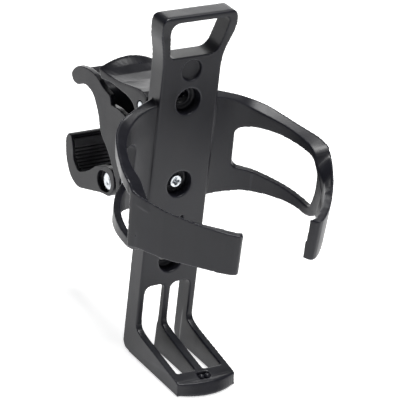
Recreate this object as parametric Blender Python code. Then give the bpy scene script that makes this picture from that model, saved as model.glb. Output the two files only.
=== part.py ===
"""Water bottle cage held by a one-screw ratchet tube clamp. Metres, +Z up, bottle on the -Y side.

Outlines and sizes below are in millimetres from the middle screw hole on the front face of the
cage's spine. Each mesh is scaled by MM and moved by SHIFT when it is made, so that the origin of
the object is the centre of the clamped tube, whose axis runs along X.
"""
from math import atan2, cos, hypot, pi, radians, sin

import bmesh
import bpy
from mathutils import Matrix, Vector

MM = 0.001
GAP = 0.3
TUBE_AXIS = (51.0, 1.0)
SHIFT = Vector((0.0, -TUBE_AXIS[0], -TUBE_AXIS[1])) * MM

# Cage: spine, handle loop and foot
SPINE_WIDTH = 24.5
SPINE_DEPTH = 8.1
PLATE = 2.9
FLANGE = 2.5
SILL_Z = 50.8
LOOP_TOP_Z = 67.7
LOOP_LEAN = 2.4
SLOT_TOP_Z = -41.0
RIB_HALF = 1.15
FOOT_FRONT_Y = -31.7
SLOT_END_Y = -26.3
FOOT_BOTTOM_Z = -69.5
HOLE_Z = (33.0, 0.0, -31.0)
HOLE_RADIUS = 5.1
BOSS_RADIUS = 7.2
BOLT_CLEARANCE_RADIUS = 2.8
SEAT_Y = 4.8

# Cage: arms
AXIS_Y = -28.5
STRAP_THICKNESS = 3.0
STRAP_TILT = 1.2
STRAP_END_RUN = (-0.9, -0.436)

# Clamp
CLAMP_FRONT_Y = SPINE_DEPTH + 0.4
CLAMP_HALF = 12.0
WALL = 2.2
JAW_AXIS = (31.5, -12.0)
STOP_AXIS = (19.5, -7.0)
LEVER_AXIS = (12.9, 27.3)
JAW_PIN_RADIUS = 2.5
SMALL_PIN_RADIUS = 1.9
MIDDLE_LEFT = -5.2
MIDDLE_RIGHT = 0.4
RATCHET_RADIUS = 20.0
TOOTH_HEIGHT = 1.0
TOOTH_COUNT = 6
SCREW_RADIUS = 1.5

# Outlines in the side view (y, z)
SPINE_SIDE = [
    (0.0, 49.0, 6.0), (0.0, -57.5, 3.0), (-4.0, -59.2, 2.0), (-31.0, -64.1, 0.6),
    (-32.4, -69.3, 0.6), (0.0, FOOT_BOTTOM_Z, 3.0), (SPINE_DEPTH, -68.8, 8.0), (SPINE_DEPTH, 50.0, 5.0),
    (SPINE_DEPTH - LOOP_LEAN, 62.0, 3.0), (SPINE_DEPTH - LOOP_LEAN, LOOP_TOP_Z, 1.2),
    (-LOOP_LEAN, LOOP_TOP_Z, 1.2), (-LOOP_LEAN, 61.0, 4.0),
]
# Outline in the front view (x, z)
SPINE_FRONT = [
    (-12.25, -80.0, 0.0), (12.25, -80.0, 0.0), (12.25, 50.0, 5.0), (15.7, 61.5, 3.5),
    (15.4, LOOP_TOP_Z, 5.5), (-15.4, LOOP_TOP_Z, 5.5), (-15.7, 61.0, 4.0), (-12.25, 50.0, 5.0),
]
FOOT_SLOT = [
    (RIB_HALF, SLOT_TOP_Z, 3.0), (RIB_HALF, -56.5, 2.0), (1.55, -59.5, 1.0), (1.9, -72.0, 0.0),
    (9.4, -72.0, 0.0), (9.5, -58.5, 1.0), (9.75, -54.0, 1.0), (9.75, SLOT_TOP_Z, 3.0),
]
CLAMP_SIDE = [
    (CLAMP_FRONT_Y, 19.0, 1.5), (18.4, 18.8, 2.0), (27.6, 19.8, 1.0), (32.6, 19.2, 0.5),
    (33.8, 22.2, 1.0), (39.3, 23.2, 3.0), (44.5, 25.6, 3.0), (52.0, 25.8, 4.0), (59.0, 23.8, 3.0),
    (62.9, 19.6, 2.0), (61.4, 16.6, 1.6), (57.6, 16.3, 1.6), (52.9, 19.0, 4.0), (46.4, 18.4, 5.0),
    (41.4, 12.6, 5.0), (38.4, 5.2, 4.0), (32.5, 1.2, 4.0), (25.6, -6.5, 3.0), (24.0, -15.4, 2.0),
    (CLAMP_FRONT_Y, -12.0, 2.0),
]
CLAMP_HOLLOW = [
    (11.4, -22.0, 0.0), (11.4, 32.0, 0.0), (63.5, 32.0, 0.0), (63.5, 21.6, 0.0), (58.0, 19.4, 2.0),
    (53.4, 21.4, 3.0), (45.2, 20.8, 4.0), (39.3, 13.8, 4.0), (36.2, 7.0, 3.0), (30.8, 3.6, 3.0),
    (23.4, -5.8, 2.0), (22.0, -22.0, 0.0),
]
JAW_SIDE = [
    (61.0, -4.9, 1.0), (62.6, -7.6, 2.0), (61.4, -15.0, 5.0), (57.2, -21.2, 4.0), (51.0, -23.4, 4.0),
    (41.6, -20.2, 4.0), (33.0, -17.3, 2.0), (27.6, -16.6, 3.0), (24.6, -11.0, 4.0), (26.9, -5.4, 4.0),
    (31.2, -5.4, 3.0), (35.0, -7.2, 2.0), (38.7, -8.4, 3.0), (43.0, -12.2, 4.0), (46.7, -14.7, 4.0),
    (51.6, -17.1, 4.5), (55.9, -13.4, 4.0), (56.6, -9.2, 3.0), (58.6, -5.2, 0.6),
]
JAW_SEAT = [
    (57.0, -6.1, 0.0), (60.3, -6.2, 0.6), (58.9, -9.2, 2.0), (57.4, -13.4, 3.0), (54.7, -17.3, 3.0),
    (50.4, -18.6, 3.0), (45.8, -17.0, 3.0), (42.0, -14.5, 2.0), (38.8, -11.2, 0.6), (39.9, -9.0, 0.0),
    (43.4, -11.0, 0.0), (46.9, -13.3, 0.0), (50.5, -14.9, 0.0), (53.2, -13.6, 0.0), (55.0, -10.0, 0.0),
]
PAD_BACK = [
    (46.7, -14.8, 2.0), (43.2, -12.4, 2.0), (40.2, -9.7, 0.3), (39.3, -11.2, 0.5), (42.2, -14.2, 2.0),
    (46.0, -16.7, 3.0), (50.4, -18.2, 3.0), (54.5, -17.0, 3.0), (57.1, -13.3, 3.0), (58.6, -9.2, 2.0),
    (59.9, -6.6, 0.5), (57.9, -6.4, 0.4),
]
PAD_CENTRE = (49.5, -9.5)
PAD_RADIUS = 7.0
PAD_HALF = CLAMP_HALF - 1.2
GROOVE_COUNT = 7
GROOVE_HALF = 0.3
GROOVE_DEPTH = 0.8
LEVER_SIDE = [
    (43.1, 29.0, 0.6), (33.8, 28.9, 3.0), (28.0, 29.4, 3.0), (21.0, 31.2, 3.0), (15.6, 32.4, 3.0),
    (9.6, 31.6, 2.0), (8.8, 27.4, 3.0), (10.4, 23.6, 2.6), (15.4, 23.4, 2.0), (18.6, 26.4, 2.0),
    (22.0, 27.2, 3.0), (34.2, 27.4, 3.0), (41.6, 25.9, 0.8),
]
LUG_PLATE_SIDE = [
    (11.0, -3.0, 0.0), (11.0, -12.4, 0.0), (25.0, -15.4, 3.0), (31.5, -16.9, 0.0), (34.6, -15.8, 0.0),
    (36.3, -13.2, 0.0), (36.3, -10.8, 0.0), (34.6, -8.2, 0.0), (31.5, -7.1, 0.0), (28.0, -7.4, 1.0),
    (22.0, -2.0, 3.0),
]
LEVER_LUG_SIDE = [
    (CLAMP_FRONT_Y + 0.6, 14.0, 0.0), (CLAMP_FRONT_Y + 0.6, 27.3, 3.0), (11.0, 30.7, 2.0),
    (14.8, 30.7, 2.0), (16.8, 27.0, 2.0), (15.4, 19.0, 2.0), (17.0, 14.0, 0.0),
]
PAWL_SIDE = [
    (9.6, 27.3, 2.0), (10.4, 30.4, 2.0), (12.6, 31.9, 0.5), (16.4, 31.9, 0.5), (17.2, 27.0, 2.0),
    (17.6, 15.0, 4.0), (22.6, 7.6, 1.5), (20.2, 5.9, 0.3), (14.6, 10.4, 4.0), (12.6, 22.0, 4.0),
]

# Ring of one arm: angle from the front, inner radius, outer top z, inner top z, bottom z, outer
# radius, top edge radius
RING_KEYS = [
    (164.0, 31.0, 34.0, 33.0, -7.0, 37.6, 35.4), (157.0, 31.9, 33.8, 32.6, -6.9, 37.6, 35.7),
    (150.0, 33.2, 33.0, 31.8, -6.4, 37.9, 36.3), (142.0, 34.6, 31.8, 30.3, -5.9, 38.2, 37.6),
    (135.0, 35.6, 30.2, 28.2, -5.3, 38.4, 39.3), (127.0, 35.8, 28.8, 26.6, -5.0, 38.4, 39.8),
    (119.0, 35.8, 27.3, 25.5, -4.6, 38.4, 39.6), (111.0, 35.8, 26.1, 24.6, -4.4, 38.4, 39.5),
    (103.0, 35.8, 25.1, 23.6, -4.3, 38.4, 39.9), (95.0, 35.8, 24.2, 22.7, -4.4, 38.4, 40.9),
    (90.0, 35.8, 23.3, 21.8, -4.6, 38.4, 41.4), (86.5, 35.8, 22.4, 20.4, -4.3, 38.4, 41.6),
    (83.0, 35.8, 19.6, 17.8, -3.6, 38.4, 40.6), (78.0, 35.8, 15.6, 14.4, -1.6, 38.2, 39.0),
    (72.0, 35.8, 11.9, 11.1, 2.2, 37.9, 38.0), (66.0, 35.8, 10.0, 9.5, 5.4, 37.4, 37.4),
    (61.0, 35.8, 9.4, 9.0, 7.2, 37.0, 37.0),
]
# Window of one arm: distance round the ring from its front, z, rounding reach
WINDOW_RADIUS = 36.0
ARM_WINDOW = [
    (89.9, 19.4, 2.5), (83.0, 20.8, 3.0), (74.0, 20.8, 4.0), (64.8, 19.8, 4.0), (55.2, 18.8, 4.0),
    (50.8, 15.2, 3.0), (50.4, 8.0, 4.0), (53.5, -0.9, 3.5), (58.5, -0.6, 3.0), (66.4, 0.6, 4.0),
    (74.8, 1.8, 4.0), (82.0, 3.2, 3.0), (89.7, 3.9, 2.5),
]
# Web that twists from the ring's top into the strap: angle, strap radius, strap z, inner z, flat width
WEB_KEYS = [
    (92.0, 41.2, 23.0, 22.0, 0.5), (87.0, 41.6, 22.2, 20.6, 0.5), (83.5, 41.5, 20.3, 18.0, 0.4),
    (79.5, 41.0, 19.3, 15.2, 0.4), (75.0, 40.2, 18.6, 12.4, 0.4), (70.0, 39.4, 17.8, 10.4, 0.5),
    (65.0, 38.8, 17.1, 9.4, 0.6), (59.0, 38.4, 16.7, 8.9, 0.8),
]
# Strap of one arm, outer face: x, y, bottom z, top z
STRAP_KEYS = [
    (41.8, -32.2, -2.1, 21.6), (41.4, -33.6, -1.9, 20.0), (40.3, -36.0, -1.4, 19.3),
    (37.9, -40.4, -1.6, 18.2), (35.2, -45.0, -2.0, 17.2), (31.8, -49.9, -1.9, 16.5),
    (28.1, -54.8, -1.7, 15.4), (24.0, -59.6, -1.8, 14.8), (20.4, -63.1, -2.0, 14.2),
    (17.9, -65.0, -2.1, 13.9), (16.3, -65.5, -2.1, 13.7), (15.1, -64.9, -2.0, 13.4),
]


def clear_scene():
    """Remove every object that the file opened with."""
    for old in list(bpy.data.objects):
        bpy.data.objects.remove(old, do_unlink=True)


def make_collection(name, hidden):
    """Collection in the scene, left out of renders when it holds cutters."""
    group = bpy.data.collections.new(name)
    bpy.context.scene.collection.children.link(group)
    group.hide_render = hidden
    return group


def make_material(name, colour, roughness, metallic=0.0):
    """Principled material with one colour, roughness and metallic value."""
    material = bpy.data.materials.new(name)
    material.use_nodes = True
    shader = material.node_tree.nodes["Principled BSDF"]
    shader.inputs["Base Color"].default_value = (*colour, 1.0)
    shader.inputs["Roughness"].default_value = roughness
    shader.inputs["Metallic"].default_value = metallic
    material.diffuse_color = (*colour, 1.0)
    return material


def rounded(corners, steps=4):
    """Outline of (u, v) points from corners given as (u, v, rounding reach)."""
    points = []
    count = len(corners)
    for index, (u, v, reach) in enumerate(corners):
        corner = Vector((u, v))
        before = Vector(corners[index - 1][:2]) - corner
        after = Vector(corners[(index + 1) % count][:2]) - corner
        reach = min(reach, 0.45 * before.length, 0.45 * after.length)
        if reach < 0.05:
            points.append((u, v))
            continue
        start = corner + before.normalized() * reach
        end = corner + after.normalized() * reach
        for step in range(steps + 1):
            t = step / steps
            spot = start * (1 - t) ** 2 + corner * (2 * t * (1 - t)) + end * t ** 2
            points.append((spot.x, spot.y))
    return points


def between(keys, place):
    """Smooth values at a place in rows of (place, value, ...), by a cubic through the rows."""
    rows = sorted(keys)
    places = [row[0] for row in rows]
    place = min(max(place, places[0]), places[-1])
    index = max(i for i in range(len(rows) - 1) if places[i] <= place)
    lower, upper = rows[index], rows[index + 1]
    before = rows[max(index - 1, 0)]
    after = rows[min(index + 2, len(rows) - 1)]
    width = upper[0] - lower[0]
    t = (place - lower[0]) / width
    values = []
    for k in range(1, len(lower)):
        slope_a = (upper[k] - before[k]) / (upper[0] - before[0]) * width
        slope_b = (after[k] - lower[k]) / (after[0] - lower[0]) * width
        value = (2 * t ** 3 - 3 * t ** 2 + 1) * lower[k] + (t ** 3 - 2 * t ** 2 + t) * slope_a
        value += (3 * t ** 2 - 2 * t ** 3) * upper[k] + (t ** 3 - t ** 2) * slope_b
        values.append(value)
    return values


def add_object(name, mesh):
    """Object in the scene from a mesh."""
    thing = bpy.data.objects.new(name, mesh)
    bpy.context.scene.collection.objects.link(thing)
    return thing


def finish_mesh(bm, name):
    """Mesh with welded points and outward faces from an edit mesh, moved to the object's origin."""
    bmesh.ops.remove_doubles(bm, verts=bm.verts, dist=0.00001)
    bmesh.ops.translate(bm, vec=SHIFT, verts=bm.verts)
    bmesh.ops.recalc_face_normals(bm, faces=bm.faces)
    mesh = bpy.data.meshes.new(name)
    bm.to_mesh(mesh)
    bm.free()
    return mesh


def prism(name, outline, low, high, axis="X"):
    """Solid from an outline, extruded along an axis; X takes (y, z), Y takes (x, z), Z takes (x, y)."""
    curve = bpy.data.curves.new(name, "CURVE")
    curve.dimensions = "2D"
    curve.fill_mode = "BOTH"
    curve.extrude = 0.5 * (high - low) * MM
    spline = curve.splines.new("POLY")
    spline.points.add(len(outline) - 1)
    for point, (u, v) in zip(spline.points, outline):
        point.co = (u * MM, v * MM, 0.0, 1.0)
    spline.use_cyclic_u = True
    flat = add_object(name, curve)
    bm = bmesh.new()
    bm.from_mesh(bpy.data.meshes.new_from_object(flat))
    bpy.data.objects.remove(flat, do_unlink=True)
    middle = 0.5 * (low + high) * MM
    turns = {
        "X": Matrix(((0, 0, 1, middle), (1, 0, 0, 0), (0, 1, 0, 0), (0, 0, 0, 1))),
        "Y": Matrix(((1, 0, 0, 0), (0, 0, -1, middle), (0, 1, 0, 0), (0, 0, 0, 1))),
        "Z": Matrix.Translation((0, 0, middle)),
    }
    bmesh.ops.transform(bm, matrix=turns[axis], verts=bm.verts)
    return add_object(name, finish_mesh(bm, name))


def cylinder(name, centre, radius, low, high, axis="X", sides=32, end_radius=None):
    """Round solid along an axis; centre is the two coordinates across it."""
    bm = bmesh.new()
    far = radius if end_radius is None else end_radius
    bmesh.ops.create_cone(bm, cap_ends=True, segments=sides, radius1=radius * MM, radius2=far * MM,
                          depth=(high - low) * MM)
    middle = 0.5 * (low + high) * MM
    u, v = centre[0] * MM, centre[1] * MM
    turns = {
        "X": Matrix.Translation((middle, u, v)) @ Matrix.Rotation(pi / 2, 4, "Y"),
        "Y": Matrix.Translation((u, middle, v)) @ Matrix.Rotation(-pi / 2, 4, "X"),
        "Z": Matrix.Translation((u, v, middle)),
    }
    bmesh.ops.transform(bm, matrix=turns[axis], verts=bm.verts)
    return add_object(name, finish_mesh(bm, name))


def loft(name, sections):
    """Solid through a row of closed sections with the same number of points each."""
    bm = bmesh.new()
    rings = [[bm.verts.new(Vector(point) * MM) for point in section] for section in sections]
    count = len(rings[0])
    for near, far in zip(rings, rings[1:]):
        for i in range(count):
            j = (i + 1) % count
            bm.faces.new((near[i], near[j], far[j], far[i]))
    bmesh.ops.triangulate(bm, faces=bm.faces)
    bm.faces.new(rings[0])
    bm.faces.new(rings[-1])
    return add_object(name, finish_mesh(bm, name))


def combine(target, tool, operation):
    """Boolean of a tool object into a target, with the tool kept among the cutters."""
    step = target.modifiers.new(tool.name, "BOOLEAN")
    step.operation = operation
    step.solver = "EXACT"
    step.object = tool
    bpy.context.scene.collection.objects.unlink(tool)
    cutters.objects.link(tool)
    tool.hide_render = True
    tool.display_type = "WIRE"


def join(target, *tools):
    """Add solids to a part."""
    for tool in tools:
        combine(target, tool, "UNION")


def cut(target, *tools):
    """Take solids away from a part."""
    for tool in tools:
        combine(target, tool, "DIFFERENCE")


def set_part(part, material, axis=(0.0, 0.0)):
    """Put a finished part in the object's collection, its origin on an axis along X, with its material."""
    origin = SHIFT + Vector((0.0, axis[0], axis[1])) * MM
    part.data.transform(Matrix.Translation(-origin))
    part.location = origin
    bpy.context.scene.collection.objects.unlink(part)
    parts.objects.link(part)
    part.data.materials.clear()
    part.data.materials.append(material)
    return part


def circle(centre, radius, start, end, steps):
    """Points of an arc, angles in degrees."""
    points = []
    for step in range(steps + 1):
        angle = radians(start + (end - start) * step / steps)
        points.append((centre[0] + radius * cos(angle), centre[1] + radius * sin(angle)))
    return points


def arm_ring(side):
    """Closed D-shaped ring of one arm, from the spine's flange round to the strap."""
    sections = []
    last, first = RING_KEYS[-1][0], RING_KEYS[0][0]
    steps = 34
    for step in range(steps + 1):
        angle = first + (last - first) * step / steps
        inner, top_out, top_in, bottom, outer, crest = between(RING_KEYS, angle)
        rise = top_in - bottom
        profile = [
            (inner, bottom), (outer, bottom + 0.1), (outer, bottom + 0.5 * rise),
            (max(outer, crest), bottom + 0.9 * rise), (crest + 0.3, top_out - 0.1),
            (crest - 0.4, top_out), (inner, top_in),
        ]
        sections.append(arm_section(side, angle, profile))
    return loft("arm_ring", sections)


def arm_window(side):
    """Cutter for the window of one arm, with its edges square to the ring."""
    outline = rounded(ARM_WINDOW)
    return loft("arm_window", [
        [(side * radius * sin(distance / WINDOW_RADIUS), AXIS_Y - radius * cos(distance / WINDOW_RADIUS), z)
         for distance, z in outline] for radius in (26.0, 52.0)])


def arm_section(side, angle, profile):
    """Points of an upright section of an arm, from (radius, z) pairs at an angle from the front."""
    across, along = sin(radians(angle)), -cos(radians(angle))
    return [(side * radius * across, AXIS_Y + radius * along, z) for radius, z in profile]


def arm_web(side):
    """Web that twists from the ring's top rim into the root of the strap."""
    sections = []
    steps = 12
    last, first = WEB_KEYS[-1][0], WEB_KEYS[0][0]
    for step in range(steps + 1):
        angle = first + (last - first) * step / steps
        radius, z_out, z_in, flat = between(WEB_KEYS, angle)
        profile = [(36.0, z_in - 2.6), (36.0, z_in), (radius - flat, z_out), (radius - 0.1, z_out - 0.1),
                   (radius - 0.1, z_out - 5.0)]
        sections.append(arm_section(side, angle, profile))
    return loft("arm_web", sections)


def arm_strap(side):
    """Flat spring strap that comes off the ring and closes round the front of the bottle."""
    sections = []
    for index, (x, y, bottom, top) in enumerate(STRAP_KEYS):
        before = STRAP_KEYS[max(index - 1, 0)]
        after = STRAP_KEYS[min(index + 1, len(STRAP_KEYS) - 1)]
        run = Vector((after[0] - before[0], after[1] - before[1])).normalized()
        if index >= len(STRAP_KEYS) - 3:
            run = Vector(STRAP_END_RUN)
        inward = Vector((run.y, -run.x))
        outer_low = Vector((x, y)) + inward * STRAP_TILT
        outer_high = Vector((x, y))
        inner_low = outer_low + inward * STRAP_THICKNESS
        inner_high = outer_high + inward * STRAP_THICKNESS
        corners = ((outer_low, bottom), (outer_high, top), (inner_high, top), (inner_low, bottom))
        sections.append([(side * spot.x, spot.y, z) for spot, z in corners])
    return loft("arm_strap", sections)


def spine_and_foot():
    """Spine, loop and shelf: the side outline trimmed to the front outline, with a bowed foot lip."""
    body = prism("cage", rounded(SPINE_SIDE, steps=6), -20.0, 20.0)
    join(body, foot_lip())
    combine(body, prism("front_outline", rounded(SPINE_FRONT, steps=6), -60.0, 20.0, axis="Y"), "INTERSECT")
    window = [(-9.8, SILL_Z, 2.0), (9.7, SILL_Z, 4.0), (12.6, 65.3, 2.0), (-12.5, 65.3, 5.0)]
    cut(body, prism("handle_window", rounded(window), -8.0, 14.0, axis="Y"))
    return body


def foot_lip():
    """Bowed front edge of the foot, fuller at the bottom."""
    sections = []
    for z, bulge in ((-69.25, 3.5), (-68.6, 4.0), (-64.9, 2.3), (-64.3, 1.7)):
        front = []
        for step in range(13):
            x = -18.0 + 3.0 * step
            front.append((x, FOOT_FRONT_Y - bulge * (1 - (2 * x / SPINE_WIDTH) ** 2), z))
        sections.append(front + [(18.0, -27.0, z), (-18.0, -27.0, z)])
    return loft("foot_lip", sections)


def make_cage(material):
    """Spine, handle loop, foot and both arms as one moulding."""
    inner = 0.5 * SPINE_WIDTH - FLANGE
    cage = spine_and_foot()
    for side in (-1, 1):
        ring = arm_ring(side)
        cut(ring, arm_window(side))
        join(ring, arm_web(side), arm_strap(side))
        join(cage, ring)
    back = [(PLATE, 47.5), (PLATE, -72.0), (SPINE_DEPTH + 2, -72.0), (SPINE_DEPTH + 2, 47.5)]
    cut(cage, prism("back_hollow", back, -inner, inner))
    for side in (-1, 1):
        arch = [(side * x, z, reach) for x, z, reach in FOOT_SLOT]
        cut(cage, prism("foot_slot", rounded(arch), SLOT_END_Y, SPINE_DEPTH + 1, axis="Y"))
    for z in HOLE_Z:
        join(cage, cylinder("boss", (0, z), BOSS_RADIUS, PLATE - 0.6, SPINE_DEPTH, "Y"))
        bore = BOLT_CLEARANCE_RADIUS if z else SCREW_RADIUS + GAP
        cut(cage, cylinder("counterbore", (0, z), HOLE_RADIUS, -2.0, SEAT_Y, "Y"),
            cylinder("bolt_bore", (0, z), bore, SEAT_Y - 1.0, SPINE_DEPTH + 1.0, "Y", sides=24))
    cut(cage, cylinder("thumb_dimple", (0, 45.3), 4.1, -1.0, 1.6, "Y"),
        cylinder("pin_mark", (2.7, -13.9), 0.7, -1.0, 1.0, "Y", sides=12))
    pocket = [(-2.4, -31.0, 1.2), (2.4, -31.0, 1.2), (2.4, -28.0, 1.2), (-2.4, -28.0, 1.2)]
    cut(cage, prism("pip_pocket", rounded(pocket), -64.9, -60.0, axis="Z"))
    for x in (-1.1, 1.1):
        join(cage, cylinder("pip", (x, -30.0), 0.85, -65.5, -64.3, "Z", sides=12),
             cylinder("pip_crown", (x, -30.0), 0.85, -64.4, -63.9, "Z", sides=12, end_radius=0.45))
    return set_part(cage, material)


def make_clamp_body(material):
    """Fixed hook with two side walls, a web round the tube and lugs for the three pins."""
    body = prism("clamp_body", rounded(CLAMP_SIDE), -CLAMP_HALF, CLAMP_HALF)
    inner = CLAMP_HALF - WALL
    cut(body, prism("clamp_hollow", rounded(CLAMP_HOLLOW), -inner, inner))
    for low, high in ((5.7, 8.3), (-8.3, -5.7)):
        join(body, prism("jaw_lug", rounded(LUG_PLATE_SIDE), low, high))
    for low, high in ((6.3, 9.3), (-9.3, -6.3)):
        join(body, prism("lever_lug", rounded(LEVER_LUG_SIDE), low, high))
    for low, high in ((8.6, 14.0), (-14.0, -8.6)):
        cut(body, cylinder("ear_relief", JAW_AXIS, 7.9, low, high))
    cut(body, cylinder("jaw_pin_hole", JAW_AXIS, JAW_PIN_RADIUS + GAP, -14.0, 14.0),
        cylinder("stop_pin_hole", STOP_AXIS, SMALL_PIN_RADIUS + GAP, -14.0, 14.0),
        cylinder("lever_pin_hole", LEVER_AXIS, SMALL_PIN_RADIUS + GAP, -14.0, 14.0),
        prism("ratchet_slot", [(21.0, -9.0), (37.6, -9.0), (37.6, 9.0), (21.0, 9.0)],
              MIDDLE_LEFT - 0.5, MIDDLE_RIGHT + 0.5),
        prism("spring_slot", [(21.0, -19.0), (28.0, -19.0), (28.0, -3.0), (21.0, -3.0)], -5.7, 5.7),
        cylinder("screw_hole", (0, 0), SCREW_RADIUS + GAP, 7.0, 13.0, "Y", sides=24),
        cylinder("nut_pocket", (0, 0), 3.6, 9.9, 13.0, "Y", sides=6))
    return set_part(body, material)


def make_jaw(material):
    """Swinging lower jaw with two ears on the hinge pin and a toothed ratchet sector."""
    jaw = prism("jaw", rounded(JAW_SIDE), -CLAMP_HALF, CLAMP_HALF)
    cut(jaw, cylinder("hub_clearance", JAW_AXIS, 7.9, -8.6, 8.6))
    teeth = []
    start, end = 137.0, 113.0
    for index in range(TOOTH_COUNT):
        step = (end - start) / TOOTH_COUNT
        for part, height in ((0.0, 0.0), (0.8, TOOTH_HEIGHT)):
            angle = radians(start + (index + part) * step)
            reach = RATCHET_RADIUS - TOOTH_HEIGHT + height
            teeth.append((JAW_AXIS[0] + reach * cos(angle), JAW_AXIS[1] + reach * sin(angle)))
    hub = circle(JAW_AXIS, 4.6, 100.0, 20.0, 6)
    root = [(40.6, -9.8), (42.0, -19.0), (35.4, -17.6)]
    belly = circle(JAW_AXIS, 4.6, -60.0, -200.0, 8)
    sector = teeth + hub + root + belly
    join(jaw, prism("ratchet_sector", sector, MIDDLE_LEFT, MIDDLE_RIGHT))
    cut(jaw, prism("pad_seat", rounded(JAW_SEAT), -PAD_HALF - GAP, PAD_HALF + GAP),
        cylinder("jaw_pin_bore", JAW_AXIS, JAW_PIN_RADIUS + GAP, -14.0, 14.0))
    pocket = circle(JAW_AXIS, 3.9, -95.0, -275.0, 12) + circle((33.5, -12.3), 3.9, 85.0, -95.0, 12)
    for low, high in ((9.8, 14.0), (-14.0, -9.8)):
        cut(jaw, prism("head_pocket", pocket, low, high))
    return set_part(jaw, material, JAW_AXIS)


def make_jaw_pad(material):
    """Ribbed rubber lining of the lower jaw."""
    face = [(y, z, 0.0) for y, z in circle(PAD_CENTRE, PAD_RADIUS, 5.0, -80.0, 10)]
    pad = prism("jaw_pad", rounded(face + PAD_BACK), -PAD_HALF, PAD_HALF)
    for index in range(GROOVE_COUNT):
        angle = radians(-2.5 - 11.4 * index)
        out = Vector((cos(angle), sin(angle)))
        side = Vector((-out.y, out.x)) * GROOVE_HALF
        middle = Vector(PAD_CENTRE)
        low, high = middle + out * (PAD_RADIUS - 1.0), middle + out * (PAD_RADIUS + GROOVE_DEPTH)
        cut(pad, prism("pad_groove", [low - side, low + side, high + side, high - side], -14.0, 14.0))
    return set_part(pad, material, JAW_AXIS)


def make_release_lever(material):
    """Thumb lever with a dished top, two side walls and the pawl that locks the jaw."""
    rows = [(43.4, 29.6, 33.0), (42.0, 29.5, 32.6), (39.0, 29.4, 31.1), (34.5, 29.6, 29.8),
            (28.0, 30.3, 29.7), (22.0, 31.7, 31.2), (16.0, 33.0, 32.8), (12.0, 33.2, 33.2),
            (9.4, 32.2, 32.2)]
    sections = []
    for y, edge, crown in rows:
        top = []
        for step in range(9):
            across = -1.0 + 0.25 * step
            top.append(((CLAMP_HALF - 0.1) * across, y, edge + (crown - edge) * (1 - across ** 2)))
        sections.append(top + [(x, y, z - 1.5) for x, y, z in reversed(top)])
    lever = loft("release_lever", sections)
    for low, high in ((9.7, CLAMP_HALF), (-CLAMP_HALF, -9.7)):
        join(lever, prism("lever_side", rounded(LEVER_SIDE), low, high))
    join(lever, prism("pawl", rounded(PAWL_SIDE), MIDDLE_LEFT, MIDDLE_RIGHT))
    cut(lever, cylinder("lever_pin_bore", LEVER_AXIS, SMALL_PIN_RADIUS + GAP, -14.0, 14.0))
    return set_part(lever, material, LEVER_AXIS)


def make_pin(name, axis, radius, half, material):
    """Straight pin along X."""
    return set_part(cylinder(name, axis, radius, -half, half), material, axis)


def make_jaw_pin(material):
    """Hinge rivet of the jaw, with a formed head in each ear's pocket."""
    pin = cylinder("jaw_pin", JAW_AXIS, JAW_PIN_RADIUS, -10.6, 10.6)
    join(pin, cylinder("rivet_head", JAW_AXIS, 3.6, -10.9, -10.1),
         cylinder("rivet_head", JAW_AXIS, 3.6, 10.1, 10.9))
    return set_part(pin, material, JAW_AXIS)


def make_spring(name, axis, radius, wire, low, high, turns, legs, material):
    """Torsion spring on a pin: a wire helix along X with a straight leg at each end."""
    curve = bpy.data.curves.new(name, "CURVE")
    curve.dimensions = "3D"
    curve.bevel_depth = wire * MM
    curve.bevel_resolution = 1
    curve.use_fill_caps = True
    start = atan2(legs[0][1] - axis[1], legs[0][0] - axis[0])
    finish = atan2(legs[1][1] - axis[1], legs[1][0] - axis[0])
    sweep = 2 * pi * turns + (finish - start) % (2 * pi)
    count = int(sweep / 0.5)
    path = []
    for step in range(count + 1):
        angle = start + sweep * step / count
        x = low + (high - low) * step / count
        path.append((x, axis[0] + radius * cos(angle), axis[1] + radius * sin(angle)))
    path.insert(0, (low, *legs[0]))
    path.append((high, *legs[1]))
    spline = curve.splines.new("POLY")
    spline.points.add(len(path) - 1)
    for point, place in zip(spline.points, path):
        point.co = (*(Vector(place) * MM), 1.0)
    wire_object = add_object(name, curve)
    bm = bmesh.new()
    bm.from_mesh(bpy.data.meshes.new_from_object(wire_object))
    bpy.data.objects.remove(wire_object, do_unlink=True)
    return set_part(add_object(name, finish_mesh(bm, name)), material, axis)


def make_screw(material):
    """Pan-head cross-recess screw that holds the cage on the clamp."""
    screw = cylinder("cage_screw", (0, 0), SCREW_RADIUS, SEAT_Y - 1.0, 13.4, "Y", sides=24)
    head = cylinder("screw_head", (0, 0), 2.3, 2.4, SEAT_Y - GAP, "Y", end_radius=2.8)
    join(screw, head)
    for turn in (0, 1):
        wide, tall = (1.5, 0.35) if turn else (0.35, 1.5)
        outline = [(-wide, -tall), (wide, -tall), (wide, tall), (-wide, tall)]
        cut(screw, prism("cross_slot", outline, 1.0, 3.5, axis="Y"))
    return set_part(screw, material)


def make_nut(material):
    """Hex nut in the pocket of the clamp body."""
    nut = cylinder("screw_nut", (0, 0), 3.2, 10.2, 12.6, "Y", sides=6)
    cut(nut, cylinder("nut_bore", (0, 0), SCREW_RADIUS + GAP, 9.0, 14.0, "Y", sides=24))
    return set_part(nut, material)


clear_scene()
parts = make_collection("water_bottle_cage", False)
cutters = make_collection("cutters", True)

plastic = make_material("black_plastic", (0.022, 0.022, 0.025), 0.42)
clamp_plastic = make_material("clamp_plastic", (0.026, 0.026, 0.029), 0.38)
rubber = make_material("black_rubber", (0.012, 0.012, 0.013), 0.75)
zinc = make_material("zinc_steel", (0.72, 0.74, 0.78), 0.28, 1.0)
spring_steel = make_material("spring_steel", (0.45, 0.45, 0.47), 0.32, 1.0)

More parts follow.
